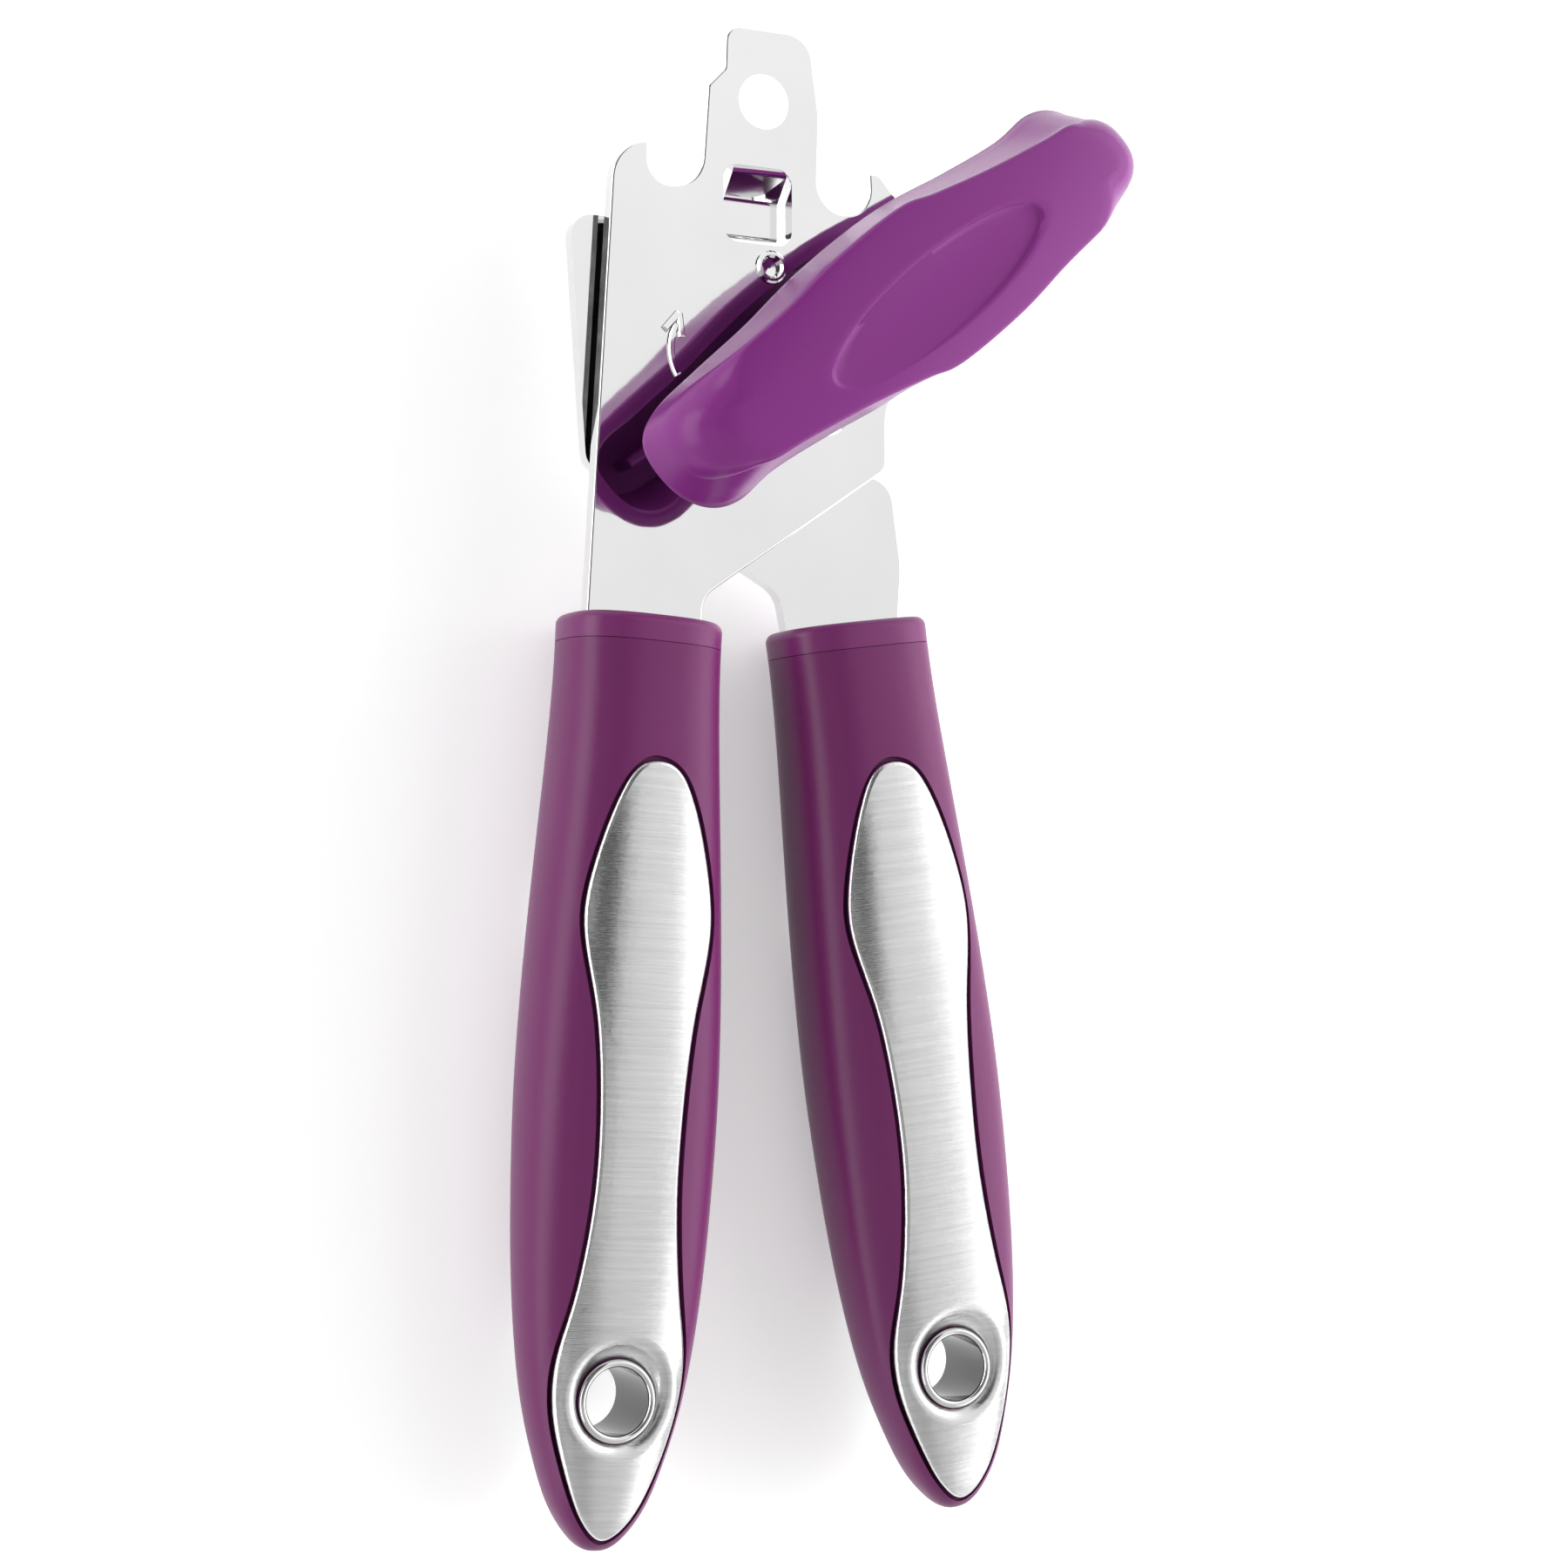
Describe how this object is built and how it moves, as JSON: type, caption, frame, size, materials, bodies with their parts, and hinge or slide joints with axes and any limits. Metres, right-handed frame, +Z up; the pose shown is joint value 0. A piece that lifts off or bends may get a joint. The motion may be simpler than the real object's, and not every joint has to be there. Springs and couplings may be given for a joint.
{
  "type": "manual can opener",
  "caption": "Scissor-type manual can opener with purple grips, steel inlays, mirror-polished plates with a bottle opener, and a purple turning knob",
  "frame": {"origin": "middle of the overall box at the surface the opener lies on, knob up", "axes": "+Y runs from the handles to the hanging tongue, +Z points up through the knob, +X towards the right handle's side"},
  "size_m": [0.0839, 0.2032, 0.0361],
  "materials": {
    "polished_steel": "mirror-polished stainless steel",
    "brushed_steel": "stainless steel brushed across the handle",
    "hardened_steel": "plated hardened steel, satin",
    "plain_steel": "plated steel, satin",
    "purple_plastic": "satin-gloss purple moulding"
  },
  "bodies": {
    "front_lever": {"front_plate": "polished_steel", "pivot_rivet": "polished_steel", "pivot_washer": "plain_steel", "stop_rivet": "polished_steel", "shaft_bush": "plain_steel", "left_collar": "purple_plastic", "left_grip": "purple_plastic", "left_front_inlay": "brushed_steel", "left_back_inlay": "brushed_steel", "left_hang_eyelet": "polished_steel", "left_tang_pins": "plain_steel"},
    "back_lever": {"back_plate": "polished_steel", "cutter_stud": "plain_steel", "cutter_washer": "plain_steel", "right_collar": "purple_plastic", "right_grip": "purple_plastic", "right_front_inlay": "brushed_steel", "right_back_inlay": "brushed_steel", "right_hang_eyelet": "polished_steel", "right_tang_pins": "plain_steel"},
    "drive": {"drive_shaft": "plain_steel", "end_washer": "plain_steel", "drive_gear": "hardened_steel", "feed_wheel": "hardened_steel", "knob": "purple_plastic"},
    "cutter": {"cutter_gear": "hardened_steel", "cutter_wheel": "hardened_steel"}
  },
  "joints": [
    {"name": "handle_pivot", "type": "hinge", "parent": "front_lever", "child": "back_lever", "pos_m": [0.0015, 0.0505, 0.0095], "axis": [0, 0, 1], "range_deg": [0, 22]},
    {"name": "knob_spin", "type": "hinge", "parent": "front_lever", "child": "drive", "pos_m": [0.006, 0.0634, 0.0095], "axis": [0, 0, 1], "continuous": true},
    {"name": "cutter_spin", "type": "hinge", "parent": "back_lever", "child": "cutter", "pos_m": [-0.009, 0.0624, 0.003], "axis": [0, 0, 1], "continuous": true}
  ],
  "couplings": [
    {"joint": "cutter_spin", "follows": "knob_spin", "ratio": -1}
  ]
}
